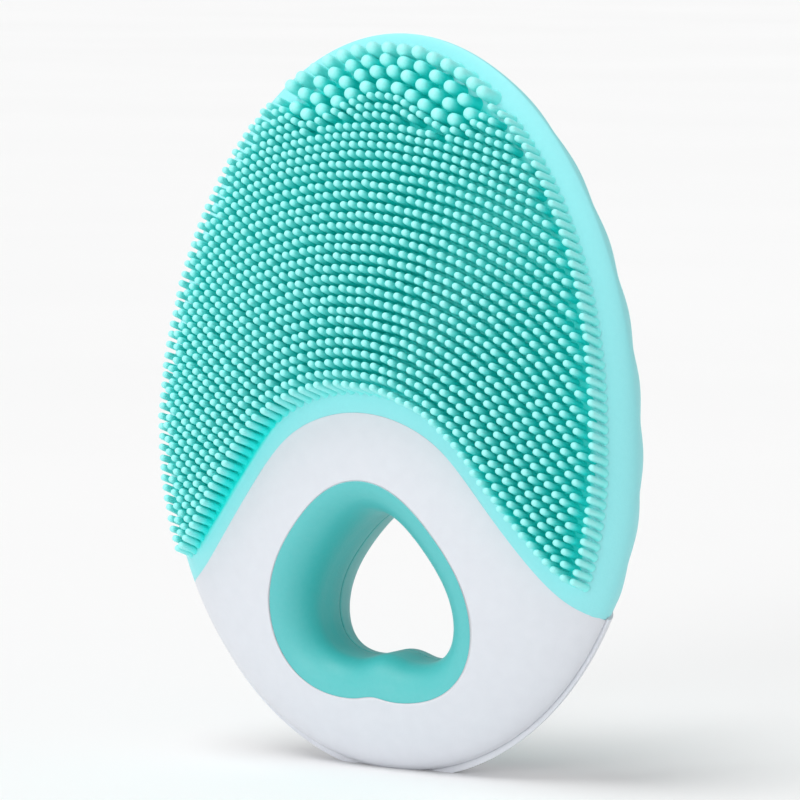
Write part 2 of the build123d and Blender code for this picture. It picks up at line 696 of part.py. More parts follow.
PARTS = {
    "silicone_cover": make_cover,
    "thin_bristles": lambda: make_bristles(False),
    "thick_bristles": lambda: make_bristles(True),
    "front_housing": lambda: make_housing(True),
    "rear_housing": lambda: make_housing(False),
    "housing_seal": seal_ring,
    "front_hole_liner": lambda: make_liner(True),
    "rear_hole_liner": lambda: make_liner(False),
    "power_button": lambda: make_button(POWER),
    "plus_button": lambda: make_button(SIDE),
    "minus_button": lambda: make_button(dict(SIDE, x=-SIDE["x"])),
    "light_pipe": make_light_pipe,
    "status_led": make_led,
    "main_board": make_board,
    "tact_switches": make_switches,
    "board_chips": make_chips,
    "board_screws": make_board_screws,
    "chassis": make_chassis,
    "chassis_screws": make_chassis_screws,
    "housing_screws": make_housing_screws,
    "motor_can": make_motor,
    "motor_boot": make_boot,
    "motor_shaft": lambda: upright(0, MOTOR_Y, SHAFT_RADIUS, SHAFT_LOW_Z, SHAFT_HIGH_Z),
    "eccentric_weight": make_weight,
    "battery_cell": make_cell,
    "battery_pad": make_cell_pad,
    "charging_coil": make_coil,
    "ferrite_sheet": make_ferrite,
    "battery_leads": make_cell_leads,
    "motor_leads": make_motor_leads,
    "coil_leads": make_coil_leads,
}

os.makedirs("parts", exist_ok=True)
for name, make in PARTS.items():
    export_step(Pos(0, SEAM_Y, 0) * make(), f"parts/{name}.step")
    print(name)
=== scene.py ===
import json
import math

import bpy
import numpy as np
from mathutils import Matrix, Vector


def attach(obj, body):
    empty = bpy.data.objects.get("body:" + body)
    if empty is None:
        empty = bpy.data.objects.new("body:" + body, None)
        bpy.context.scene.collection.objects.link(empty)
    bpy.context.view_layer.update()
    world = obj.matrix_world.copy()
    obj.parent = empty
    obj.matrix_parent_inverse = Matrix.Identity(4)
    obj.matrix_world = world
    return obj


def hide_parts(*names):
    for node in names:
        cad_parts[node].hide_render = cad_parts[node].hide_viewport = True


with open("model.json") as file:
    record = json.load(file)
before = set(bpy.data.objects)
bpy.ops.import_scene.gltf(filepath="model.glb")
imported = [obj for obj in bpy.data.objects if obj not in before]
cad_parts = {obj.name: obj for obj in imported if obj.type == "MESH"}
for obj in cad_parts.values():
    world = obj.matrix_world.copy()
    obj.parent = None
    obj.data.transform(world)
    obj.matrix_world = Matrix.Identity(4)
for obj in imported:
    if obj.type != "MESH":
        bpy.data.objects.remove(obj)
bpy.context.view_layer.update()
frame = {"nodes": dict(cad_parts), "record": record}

MM = 0.001
SEAM_Y = 1.52

# ---- Body ----
HALF_WIDTH = 39.8
WIDEST_Z = 47.0
RISE = 60.3             # from the widest level up to the crown
DROP = 47.35            # and down to the rounded end
FRONT = 11.0
BACK = 12.5
RECEDE = 0.55           # how much shallower the front is at the crown
FACE_POWER = 0.5        # the front is an ellipsoid up to its widest level
CROWN_POWER = 0.66      # and falls away more towards its edge from CROWN_Z up
CROWN_Z = 80.0

# ---- Lower edge of the silicone cover ----
ARCH_X = np.array([0.0, 7.6, 13.8, 19.2, 25.2, 31.3, 36.0])
ARCH_SHARE = np.array([1.0, 0.95, 0.815, 0.595, 0.33, 0.105, 0.01])
ARCH_TIP_Z = 23.6
FRONT_ARCH_Z = 52.7
BACK_ARCH_Z = 63.0
TIP_TURN = math.radians(-2.4)   # direction of the two tips, seen from the middle of the hole

# ---- Ridges on the back ----
RIDGE_FIRST_Z = 27.5
RIDGE_PITCH = 10.2
RIDGE_RISE = 1.2
RIDGE_SIDE = 0.55       # they reach full depth where the sine of the angle from the side is this
RIDGE_ROUND = 0.004     # rounds the bottoms of the grooves
RIDGE_SINK = 0.35       # share of the rise that lies under the plain face
RIDGE_CROWN = 14.0      # they fade out over this height at the crown
RIDGE_HEM = 4.0         # and over this height at the cover's lower edge

# ---- Finger hole: an upside-down rounded heart, as radius against angle ----
HOLE_Z = 25.5
HOLE_RADIUS = 16.77     # mean radius at the rim
HOLE_RISE = 0.11        # shift upwards
HOLE_OVAL = 0.45        # widening
HOLE_HEART = 1.29       # how far the three corners stand out
HOLE_SQUARE = 0.10      # flattening between them
HOLE_RIPPLE = 0.17      # evens out the sides
HOLE_LOBES = 0.50       # how far the two lobes at the bottom stand out
LOBE_ANGLE = 0.60       # and how wide they are, in radians
HOLE_CLEFT = 0.55       # depth of the cleft between them
CLEFT_ANGLE = 0.16
THROAT_INSET = 5.5      # the throat is this much smaller all round than the rim
THROAT_CLEFT = 0.6      # its floor rises this much more in the middle
THROAT_CLEFT_HALF = 3.5     # and falls away over this width on each side
THROAT_FRONT_Y = -2.0   # where the front funnel ends
THROAT_BACK_Y = 4.0     # where the back funnel begins

# ---- Edges of the shells, the cover and the liners ----
SHELL_EDGE = 0.28       # rounding at the hole; the outer edge has OUTER_EDGE times as much
OUTER_EDGE = 0.8
SHELL_WALL = 1.2        # depth of the walls under the shell's rounded edges
COVER_EDGE = 0.35
COVER_WALL = 1.3
COVER_REACH = 45.0      # about the distance from the body's middle to the cover's edge
LINER_SEAM_Y = 2.8      # joint between the two liners
LINER_GAP = 0.13        # open joint round the liner's lip
LINER_LIP = 0.24        # radius of the lip
LINER_PROUD = 0.05      # how far the lip stands out of the shell's face
LINER_TUCK = 1.6        # how far the lip's outer wall goes under it
LINER_SHELF = 0.12      # flat ring between the lip and the funnel
SEAM_HALF_GAP = 0.06    # half of the open joint between the liners
SEAM_RUN_OUT = 0.25     # the throat's wall stays straight up to here from the joint
# The rounding of the liners' edges at the joint, as (inwards, off the joint).
SEAM_EDGE = [(0.02, 0.10), (0.10, 0.02), (0.25, 0.0), (1.0, 0.0)]

# ---- Bristles ----
LEAN = math.radians(17.0)
THIN_LENGTH = 5.2
THICK_LENGTH = 5.2
SHORTEN = 1.1           # bristles are this much shorter at the top and the sides
THIN_RADIUS = 0.50
THICK_RADIUS = 0.92
THIN_STEP = 1.55        # spacing along a row
BORDER_STEP = 1.53      # spacing along the outermost row
BORDER_START = 0.7      # distance of its first bristle from the middle
EDGE_GAP = 3.3          # least distance of the outermost row from the cover's lower edge
THIN_GAP = 1.2          # least distance between thin bristles of different rows
THICK_GAP = 1.7         # least distance between thin and thick ones
BORDER_THICK_GAP = 1.65     # and in the outermost row
CURVE_STEP = 0.05       # spacing of the points that a row's curve is made of
WAVE_END_X = 18.05      # the wavy row ends before this
WAVE_FREE_X = 17.5      # beyond this the outermost row may stand higher than the wavy one
HUMP_DROPS = (1.42, 2.84)   # two short rows stand this far under the middle of the wavy one
HUMP_X = 7.5            # half the length they may have
HUMP_LOW_Z = 94.15      # and the lowest height
HUMP_GAP = 1.15
BORDER_X = 36.6         # the outermost row stands on this ellipse
BORDER_UP = 57.4
BORDER_DOWN = 44.9
ROW_PEAKS = [56.2 + 1.5 * k for k in range(22)] + [89.1 + 1.33 * k for k in range(10)]
WAVE_X = np.array([0.0, 3.0, 6.0, 9.0, 12.2, 14.5, 16.5, 18.0, 20.0])
WAVE_Z = np.array([97.5, 97.1, 95.8, 94.0, 92.85, 93.4, 94.6, 96.2, 98.5])
THICK_ROWS = [
    [(0.0, 99.15), (2.65, 98.7), (5.1, 97.7), (7.4, 96.4), (9.9, 95.2), (12.5, 94.55), (14.8, 95.4)],
    [(1.35, 101.05), (4.0, 100.4), (6.5, 99.3), (8.9, 98.0), (11.3, 96.85), (13.6, 97.45)],
    [(0.0, 102.7), (3.0, 102.45), (5.8, 101.75), (8.6, 100.6), (11.1, 99.15)],
]
THICK_BORDER_X = [0.0, 2.6, 5.15, 7.65, 10.05, 12.35, 14.5, 16.2]
SHORTEN_FROM = 0.45     # share of the way from the field's middle where they begin to get shorter
SHORTEN_OVER = 0.5      # and the share over which they do
SWAY = 0.018            # random spread of a bristle's direction
TONE = 0.02             # and of its colour
FIELD_HEM = 3.6         # the painted shade of the field begins this far above the cover's lower edge
FIELD_HEM_FADE = 1.0
FIELD_SIDE = 0.6        # and this far inside the outermost row, for the painted shade on the skin
FIELD_SIDE_FADE = 1.2
OUTER_PALE = 0.8        # how much paler the shafts of the outer rows are, with less painted shade at the root
OUTER_SIDE_FADE = 1.4
OUTER_HEM_FADE = 2.5

# ---- Buttons: name, body, x, z, radius ----
BUTTONS = [
    ("power", "power_button_body", 0.0, 54.0, 4.2),
    ("plus", "plus_button_body", 13.0, 50.0, 3.0),
    ("minus", "minus_button_body", -13.0, 50.0, 3.0),
]
BUTTON_PROUD = 0.4
CAP_EDGE = 0.3          # rounding of a cap's rim
CAP_DISH = 0.22         # depth of the hollow in its top
MARK_HALF = 0.21        # half width of the raised strokes on the caps
MARK_RISE = 0.13
MARK_SUNK = 0.05        # their edges lie this far under the cap's top
SIGN_HALF = 1.05        # half length of the strokes of plus and minus
POWER_RADIUS = 1.25     # of the power sign's arc

chance = np.random.RandomState(11)


# ---------------------------------------------------------------- numbers

def smooth(t):
    t = np.clip(t, 0.0, 1.0)
    return t * t * (3 - 2 * t)


def bends(x, y):
    """Second derivatives of the cubic spline that is level at its first knot and straight at its last."""
    count = len(x)
    step = np.diff(x)
    slope = np.diff(y) / step
    left = np.zeros((count, count))
    right = np.zeros(count)
    left[0, 0] = step[0] / 3
    left[0, 1] = step[0] / 6
    right[0] = slope[0]
    for i in range(1, count - 1):
        left[i, i - 1] = step[i - 1] / 6
        left[i, i] = (step[i - 1] + step[i]) / 3
        left[i, i + 1] = step[i] / 6
        right[i] = slope[i] - slope[i - 1]
    left[-1, -1] = 1
    return np.linalg.solve(left, right)


def spline(x, knots, values, curve):
    x = np.clip(np.abs(x), knots[0], knots[-1])
    i = np.clip(np.searchsorted(knots, x) - 1, 0, len(knots) - 2)
    step = knots[i + 1] - knots[i]
    a = (knots[i + 1] - x) / step
    b = (x - knots[i]) / step
    bow = ((a ** 3 - a) * curve[i] + (b ** 3 - b) * curve[i + 1]) * step ** 2 / 6
    return a * values[i] + b * values[i + 1] + bow


ARCH_CURVE = bends(ARCH_X, ARCH_SHARE)
WAVE_CURVE = bends(WAVE_X, WAVE_Z)


def arch_z(x, peak):
    """Height of the cover's lower edge."""
    return ARCH_TIP_Z + spline(x, ARCH_X, ARCH_SHARE, ARCH_CURVE) * (peak - ARCH_TIP_Z)


def wave_z(x):
    """Height of the topmost row of thin bristles."""
    return spline(x, WAVE_X, WAVE_Z, WAVE_CURVE)


def reach(z):
    return np.where(z > WIDEST_Z, RISE, DROP)


def bulge(z, front):
    """Signed depth of the half body at its middle, before the outline narrows."""
    if not front:
        return np.full_like(z, BACK)
    up = np.clip((z - WIDEST_Z) / RISE, 0, 1)
    return -FRONT * (1 - RECEDE * up ** 2)


def fall_off(z, front):
    """The power that shapes the face between its middle and its edge."""
    if not front:
        return FACE_POWER
    return FACE_POWER + (CROWN_POWER - FACE_POWER) * smooth((z - WIDEST_Z) / (CROWN_Z - WIDEST_Z))


def face_y(x, z, front):
    """Depth of the body's face at x, z."""
    inside = 1 - (x / HALF_WIDTH) ** 2 - ((z - WIDEST_Z) / reach(z)) ** 2
    return bulge(z, front) * np.clip(inside, 0, 1) ** fall_off(z, front)


def unit(v):
    return v / np.maximum(np.linalg.norm(v, axis=-1, keepdims=True), 1e-9)


def outward(p, front):
    """Direction out of the face at points on it."""
    x, y, z = p[..., 0], p[..., 1], p[..., 2]
    n = np.stack([x / HALF_WIDTH ** 2, y / bulge(z, front) ** 2, (z - WIDEST_Z) / reach(z) ** 2], axis=-1)
    return unit(n)


def on_face(x, z, front):
    return np.stack([x, face_y(x, z, front), z], axis=-1)


def heart(turn, inset):
    """The hole's outline, an upside-down rounded heart, moved inwards along its own normal."""
    low = (turn + 1.5 * math.pi) % (2 * math.pi) - math.pi
    lobes = HOLE_LOBES * np.exp(-(low / LOBE_ANGLE) ** 2)
    cleft = HOLE_CLEFT * np.exp(-(low / CLEFT_ANGLE) ** 2)
    radius = (HOLE_RADIUS + HOLE_RISE * np.sin(turn) + HOLE_OVAL * np.cos(2 * turn)
              - HOLE_HEART * np.sin(3 * turn) - HOLE_SQUARE * np.cos(4 * turn)
              + HOLE_RIPPLE * np.sin(5 * turn) + lobes - cleft)
    growth = (HOLE_RISE * np.cos(turn) - 2 * HOLE_OVAL * np.sin(2 * turn)
              - 3 * HOLE_HEART * np.cos(3 * turn) + 4 * HOLE_SQUARE * np.sin(4 * turn)
              + 5 * HOLE_RIPPLE * np.cos(5 * turn)
              - 2 * low * (lobes / LOBE_ANGLE ** 2 - cleft / CLEFT_ANGLE ** 2))
    nx = radius * np.cos(turn) + growth * np.sin(turn)
    nz = radius * np.sin(turn) - growth * np.cos(turn)
    length = np.hypot(nx, nz)
    x = radius * np.cos(turn) - inset * nx / length
    z = HOLE_Z + radius * np.sin(turn) - inset * nz / length
    hump = np.where(np.sin(turn) < 0, THROAT_CLEFT * inset / THROAT_INSET, 0.0)
    return x, z + hump * np.exp(-(x / THROAT_CLEFT_HALF) ** 2)


# ---------------------------------------------------------------- meshes

def make_object(name, points, faces, shade=None):
    """A smooth mesh from points in mm; shade is one number for each point, for the materials."""
    placed = (np.asarray(points, float) + (0, SEAM_Y, 0)) * MM
    mesh = bpy.data.meshes.new(name)
    mesh.from_pydata(placed.tolist(), [], faces)
    mesh.validate()
    mesh.polygons.foreach_set("use_smooth", [True] * len(mesh.polygons))
    if shade is not None:
        layer = mesh.attributes.new("shade", "FLOAT", "POINT")
        layer.data.foreach_set("value", np.asarray(shade, np.float32).ravel())
    made = bpy.data.objects.new(name, mesh)
    bpy.context.scene.collection.objects.link(made)
    return made


def grid_faces(rows, columns, flip=False, start=0, joined=True):
    """Quads between successive rings of points; joined closes each ring on itself."""
    faces = []
    for r in range(rows - 1):
        for c in range(columns if joined else columns - 1):
            d = (c + 1) % columns
            quad = (start + r * columns + c, start + r * columns + d,
                    start + (r + 1) * columns + d, start + (r + 1) * columns + c)
            faces.append(quad[::-1] if flip else quad)
    return faces


def rounded_edge(corner, normal, away, radius, depth, steps=4):
    """Rings that turn from a face over a rounded edge and down a wall; away points off the face."""
    rings = []
    centre = corner - normal * radius - away * radius
    for i in range(steps + 1):
        turn = math.pi / 2 * i / steps
        rings.append(centre + radius * (normal * math.cos(turn) + away * math.sin(turn)))
    rings.append(corner - normal * (radius + depth))
    return rings


def along_ring(ring):
    """Unit tangents of a closed ring of points."""
    return unit(np.roll(ring, -1, axis=0) - np.roll(ring, 1, axis=0))


# ---------------------------------------------------------------- housing front

def outline_hit(turn):
    """Where a ray from the middle of the hole meets the body's outline."""
    c, s = np.cos(turn), np.sin(turn)
    low = np.zeros_like(turn)
    high = np.full_like(turn, 90.0)
    for _ in range(48):
        mid = (low + high) / 2
        x, z = mid * c, HOLE_Z + mid * s
        inside = (x / HALF_WIDTH) ** 2 + ((z - WIDEST_Z) / reach(z)) ** 2 < 1
        low = np.where(inside, mid, low)
        high = np.where(inside, high, mid)
    return low


def arch_hit(turn, peak):
    """Where a ray from the middle of the hole meets the cover's lower edge."""
    c, s = np.cos(turn), np.sin(turn)
    low = np.full_like(turn, 10.0)
    high = outline_hit(turn)
    for _ in range(48):
        mid = (low + high) / 2
        below = HOLE_Z + mid * s < arch_z(mid * c, peak)
        low = np.where(below, mid, low)
        high = np.where(below, high, mid)
    return low


def housing_shell(name, front, peak):
    """The white shell around the hole, with rounded rims there, at the cover and at the parting line."""
    columns = 480
    rows = 46
    turn = np.linspace(0, 2 * math.pi, columns, endpoint=False)
    upper = np.sin(turn) > math.sin(TIP_TURN)
    far = np.where(upper, arch_hit(turn, peak), outline_hit(turn))
    x, z = heart(turn, 0.0)
    rim = on_face(x, z, front)
    edge = on_face(far * np.cos(turn), HOLE_Z + far * np.sin(turn), front)
    edge[~upper, 1] = 0.0
    side = -1.0 if front else 1.0
    n_rim = outward(rim, front)
    n_edge = outward(edge, front)
    away_rim = unit(np.cross(n_rim, along_ring(rim)) * side)
    away_edge = unit(np.cross(n_edge, along_ring(edge)) * -side)
    away_edge[~upper] = (0.0, -side, 0.0)
    first = rim - away_rim * SHELL_EDGE
    last = edge - away_edge * SHELL_EDGE
    rings = rounded_edge(rim, n_rim, away_rim, SHELL_EDGE, SHELL_WALL)[:0:-1]
    for r in range(rows):
        share = math.sin(r / (rows - 1) * math.pi / 2)
        x = first[:, 0] + (last[:, 0] - first[:, 0]) * share
        z = first[:, 2] + (last[:, 2] - first[:, 2]) * share
        rings.append(on_face(x, z, front))
    rings[-1] = last
    rings += rounded_edge(edge, n_edge, away_edge, SHELL_EDGE * OUTER_EDGE, SHELL_WALL)[1:]
    return make_object(name, np.concatenate(rings), grid_faces(len(rings), columns, flip=not front))


# ---------------------------------------------------------------- silicone cover

def ridge_height(p, azimuth):
    """How far the ridged back stands out at points of the cover."""
    x, z = p[..., 0], p[..., 2]
    depth = RIDGE_RISE * smooth(np.sin(azimuth) / RIDGE_SIDE)
    roll = np.sqrt(np.cos(np.pi * (z - RIDGE_FIRST_Z) / RIDGE_PITCH) ** 2 + RIDGE_ROUND)
    crown = smooth((WIDEST_Z + RISE - z) / RIDGE_CROWN)
    hem = smooth((z - arch_z(x, BACK_ARCH_Z)) / RIDGE_HEM)
    return depth * (roll - RIDGE_SINK) * crown * hem


def border_span(z):
    """Half height of the ellipse that the outermost row of bristles stands on."""
    return np.where(z > WIDEST_Z, BORDER_UP, BORDER_DOWN)


def field_shade_share(p):
    """Painted shade on the skin: 1 where the bristles stand and shade it, 0 on the bare margins."""
    x, z = p[..., 0], p[..., 2]
    inside = (1 - np.hypot(x / BORDER_X, (z - WIDEST_Z) / border_span(z))) * BORDER_X
    over = z - arch_z(x, FRONT_ARCH_Z)
    return smooth((inside - FIELD_SIDE) / FIELD_SIDE_FADE) * smooth((over - FIELD_HEM) / FIELD_HEM_FADE)


def make_cover():
    columns = 400
    rows = 150
    azimuth = np.linspace(0, 2 * math.pi, columns, endpoint=False)
    front = np.sin(azimuth) < 0
    peak = np.where(front, FRONT_ARCH_Z, BACK_ARCH_Z)

    def at(tilt):
        z = WIDEST_Z + np.where(np.cos(tilt) > 0, RISE, DROP) * np.cos(tilt)
        x = HALF_WIDTH * np.sin(tilt) * np.cos(azimuth)
        return np.stack([x, np.where(front, face_y(x, z, True), face_y(x, z, False)), z], axis=-1)

    def above(tilt):
        p = at(tilt)
        return p[:, 2] > arch_z(p[:, 0], peak)

    def normals(p):
        return np.where(front[:, None], outward(p, True), outward(p, False))

    step = 0.02
    low = np.full(columns, 0.3)
    high = np.full(columns, 0.3)
    found = np.zeros(columns, bool)
    for tilt in np.arange(0.32, 2.6, step):
        crossed = ~found & ~above(np.full(columns, tilt))
        low[crossed] = tilt - step
        high[crossed] = tilt
        found |= crossed
    for _ in range(40):
        mid = (low + high) / 2
        inside = above(mid)
        low = np.where(inside, mid, low)
        high = np.where(inside, high, mid)

    edge = at(low)
    edge_n = normals(edge)
    away = unit(np.cross(edge_n, along_ring(edge)))
    away = np.where(away[:, 2:3] > 0, -away, away)
    last = low - COVER_EDGE / COVER_REACH
    rings = []
    for r in range(rows):
        p = at(last * (r + 1) / rows)
        level = normals(p) * (1, 1, 0)
        rings.append(p + level * ridge_height(p, azimuth)[:, None])
    rings += rounded_edge(edge, edge_n, away, COVER_EDGE, COVER_WALL, steps=5)[1:]
    crown = np.array([[0.0, 0.0, WIDEST_Z + RISE]])
    points = np.concatenate(rings + [crown])
    faces = grid_faces(len(rings), columns)
    tip = len(points) - 1
    faces += [(tip, c, (c + 1) % columns) for c in range(columns)]
    # painted shade: the front skin among the bristles is coloured darker and deeper teal
    shade = 0.05 + 0.9 * field_shade_share(points) * (points[:, 1] < -0.5)
    return make_object("cover_skin", points, faces, shade)


# ---------------------------------------------------------------- finger hole lining

def make_liner(name, front):
    """A trumpet that opens along a quarter of an ellipse, with a small rounded lip at the rim."""
    columns = 320
    turn = np.linspace(0, 2 * math.pi, columns, endpoint=False)
    side = -1.0 if front else 1.0
    throat_y = THROAT_FRONT_Y if front else THROAT_BACK_Y
    x, z = heart(turn, 0.0)
    rim_y = face_y(x, z, front)
    lip_rings = 4
    funnel_rings = 40
    profile = [(LINER_GAP, -LINER_TUCK), (LINER_GAP, -LINER_LIP)]
    for i in range(1, 5):
        bend = math.pi / 2 * i / 4
        inset = LINER_GAP + LINER_LIP * (1 - math.cos(bend))
        profile.append((inset, -LINER_LIP + LINER_LIP * math.sin(bend)))
    rings = []
    for inset, out in profile:
        x, z = heart(turn, inset)
        rings.append(np.stack([x, rim_y + side * (out + LINER_PROUD), z], axis=-1))
    start = LINER_GAP + LINER_LIP + LINER_SHELF
    for i in range(1, funnel_rings + 1):
        bend = math.pi / 2 * i / funnel_rings
        x, z = heart(turn, start + (THROAT_INSET - start) * math.sin(bend))
        y = throat_y + (rim_y - throat_y) * math.cos(bend)
        rings.append(np.stack([x, y, z], axis=-1))
    end = LINER_SEAM_Y + side * SEAM_HALF_GAP
    x, z = heart(turn, THROAT_INSET)
    for y in np.linspace(throat_y, end + side * SEAM_RUN_OUT, 6)[1:]:
        rings.append(np.stack([x, np.full(columns, y), z], axis=-1))
    for inwards, off in SEAM_EDGE:
        x, z = heart(turn, THROAT_INSET - inwards)
        rings.append(np.stack([x, np.full(columns, end + side * off), z], axis=-1))
    # 0.5 at the joint and near 0 or 1 at the rim; the lip lies past the ramp's ends, which are brighter as
    # a painted highlight on the lip.
    shade = [0.5 + side * 0.44 * (ring[:, 1] - LINER_SEAM_Y) / (rim_y - LINER_SEAM_Y) for ring in rings]
    for ring in shade[:lip_rings]:
        ring[:] = 0.5 + side * 0.6
    return make_object(name, np.concatenate(rings), grid_faces(len(rings), columns, flip=not front),
                       np.concatenate(shade))


# ---------------------------------------------------------------- bristles

def spaced(x, z, step, from_middle=0.0):
    """Points a step apart along a curve that starts at the middle, and their mirror images."""
    length = np.concatenate([[0], np.cumsum(np.hypot(np.diff(x), np.diff(z)))])
    marks = np.arange(from_middle, length[-1], step)
    px, pz = np.interp(marks, length, x), np.interp(marks, length, z)
    right = np.stack([px, pz], axis=-1)
    left = right[right[:, 0] > 1e-6] * (-1, 1)
    return np.concatenate([right, left])


def nearest(points, others):
    """Distance of each point from the nearest of the others."""
    return np.sqrt(((points[:, None] - others[None]) ** 2).sum(-1)).min(1)


def thick_places():
    """The rows of thick bristles, then the border along the crown, each place with its mirror image."""
    right = [spot for row in THICK_ROWS for spot in row]
    right += [(x, WIDEST_Z + BORDER_UP * math.sqrt(1 - (x / BORDER_X) ** 2)) for x in THICK_BORDER_X]
    places = []
    for x, z in right:
        places.append((x, z))
        if x:
            places.append((-x, z))
    return np.array(places)


def thin_places(thick):
    """Rows parallel to the cover's lower edge, a border row round the sides, and a wavy row at the top."""
    turn = np.linspace(math.pi / 2, -math.pi / 2, 4000)
    span = np.where(turn > 0, BORDER_UP, BORDER_DOWN)
    border = spaced(BORDER_X * np.cos(turn), WIDEST_Z + span * np.sin(turn), BORDER_STEP, BORDER_START)
    x = np.arange(0, ARCH_X[-1], CURVE_STEP)
    z = arch_z(x, FRONT_ARCH_Z)
    slope = np.gradient(z, x)
    slope[0] = 0.0
    nx, nz = -slope / np.hypot(1, slope), 1 / np.hypot(1, slope)
    edge = np.stack([np.concatenate([-x[:0:-1], x]), np.concatenate([z[:0:-1], z])], axis=-1)
    above = border[:, 1] > arch_z(border[:, 0], FRONT_ARCH_Z)
    border = border[above & (nearest(border, edge) > EDGE_GAP)]
    wx = np.arange(0, WAVE_END_X, CURVE_STEP)
    wave = spaced(wx, wave_z(wx), THIN_STEP)
    border = border[nearest(border, thick) > BORDER_THICK_GAP]
    border = border[nearest(border, wave) > THIN_GAP]
    border = border[(border[:, 1] < wave_z(border[:, 0])) | (np.abs(border[:, 0]) > WAVE_FREE_X)]
    kept = np.concatenate([border, wave])
    hump_x = wx[:round(HUMP_X / CURVE_STEP)]
    for drop in HUMP_DROPS:
        hump = spaced(hump_x, wave_z(hump_x) - drop, THIN_STEP)
        hump = hump[hump[:, 1] > HUMP_LOW_Z]
        kept = np.concatenate([kept, hump[nearest(hump, kept) > HUMP_GAP]])
    for peak in ROW_PEAKS:
        lift = peak - FRONT_ARCH_Z
        row = spaced(x + lift * nx, z + lift * nz, THIN_STEP)
        reached = (row[:, 0] / BORDER_X) ** 2 + ((row[:, 1] - WIDEST_Z) / border_span(row[:, 1])) ** 2
        clear = (reached < 1) & (row[:, 1] < wave_z(row[:, 0])) & (nearest(row, edge) > lift - CURVE_STEP)
        row = row[clear]
        row = row[(nearest(row, kept) > THIN_GAP) & (nearest(row, thick) > THICK_GAP)]
        kept = np.concatenate([kept, row])
    return kept


def edge_share(x, z):
    """From 0 in the lower middle of the field to 1 at its top and sides."""
    across = abs(x) / BORDER_X
    up = max(0.0, (z - WIDEST_Z) / BORDER_UP)
    return float(smooth((math.hypot(across, up) - SHORTEN_FROM) / SHORTEN_OVER))


def outer_unshaded_share(x, z):
    """1 for the outermost row, whose shafts stand in the open and get less painted shade, and 0 inside the
    field.
    """
    inside = (1 - math.hypot(x / BORDER_X, (z - WIDEST_Z) / border_span(z))) * BORDER_X
    over = z - float(arch_z(np.array(x), FRONT_ARCH_Z))
    return float(max(1 - smooth(inside / OUTER_SIDE_FADE), 1 - smooth((over - FIELD_HEM) / OUTER_HEM_FADE)))


def make_bristles(name, places, radius, length, sides):
    """Tapered round-ended bristles, all leaning up, with a small fillet at each root."""
    dome = [math.radians(a) for a in (25, 50, 72)]
    # (distance from the skin, share of the tip's radius)
    stations = [(-0.35, 1.42), (0.12, 1.22), (0.55, 1.10), (2.6, 1.04)]
    turn = np.linspace(0, 2 * math.pi, sides, endpoint=False)
    points, faces, shade = [], [], []
    count = 0
    for x, z in places:
        root = np.array([x, float(face_y(np.array(x), np.array(z), True)), z])
        long = length - SHORTEN * edge_share(x, z)
        pale = OUTER_PALE * outer_unshaded_share(x, z)
        profile = [(t, radius * wide) for t, wide in stations]
        profile += [(long - radius, radius)]
        profile += [(long - radius + radius * math.sin(a), radius * math.cos(a)) for a in dome]
        sway = chance.normal(0, SWAY, 2)
        tone = TONE * chance.uniform(-0.5, 0.5)
        axis = np.array([sway[0], -math.cos(LEAN + sway[1]), math.sin(LEAN + sway[1])])
        axis /= np.linalg.norm(axis)
        across = np.array([1.0, 0.0, 0.0])
        across -= axis * axis[0]
        across /= np.linalg.norm(across)
        other = np.cross(axis, across)
        start = count
        circle = np.cos(turn)[:, None] * across + np.sin(turn)[:, None] * other
        for t, r in profile:
            points.append(root + axis * t + circle * r)
            # painted shade and light along each shaft: darker at the root, paler at the tip; the outer rows
            # are paler at the root
            shade += [pale + (1 - pale) * min(1.0, max(0.0, t / long)) + tone] * sides
            count += sides
        points.append((root + axis * long)[None])
        shade.append(1.0 + tone)
        faces += grid_faces(len(profile), sides, start=start, flip=True)
        rim = start + (len(profile) - 1) * sides
        faces += [(rim + (c + 1) % sides, rim + c, count) for c in range(sides)]
        count += 1
    return make_object(name, np.concatenate(points), faces, shade)


# ---------------------------------------------------------------- buttons

def cap_y(x, z, x0, z0, radius):
    """Depth of a button cap's dished top."""
    share = np.hypot(x - x0, z - z0) / (radius - CAP_EDGE)
    return face_y(x, z, False) + BUTTON_PROUD - CAP_DISH * (1 - smooth(share / 0.95))


def make_cap(name, x0, z0, radius):
    """A button cap that follows the back face, with a rounded rim and a shallow dish."""
    columns = 72
    shares = (0.02, 0.12, 0.25, 0.4, 0.55, 0.7, 0.82, 0.92)
    turn = np.linspace(0, 2 * math.pi, columns, endpoint=False)

    def ring(r, sunk):
        x, z = x0 + r * np.cos(turn), z0 + r * np.sin(turn)
        return np.stack([x, cap_y(x, z, x0, z0, radius) - sunk, z], axis=-1)

    rings = [ring((radius - CAP_EDGE) * share, 0.0) for share in shares]
    for bend in np.linspace(0, math.pi / 2, 6):
        rings.append(ring(radius - CAP_EDGE * (1 - math.sin(bend)), CAP_EDGE * (1 - math.cos(bend))))
    rings.append(ring(radius, BUTTON_PROUD + 1.2))
    centre = np.array([[x0, float(cap_y(np.array(x0), np.array(z0), x0, z0, radius)), z0]])
    faces = grid_faces(len(rings), columns)
    tip = len(rings) * columns
    faces += [(tip, (c + 1) % columns, c) for c in range(columns)]
    return make_object(name, np.concatenate(rings + [centre]), faces)


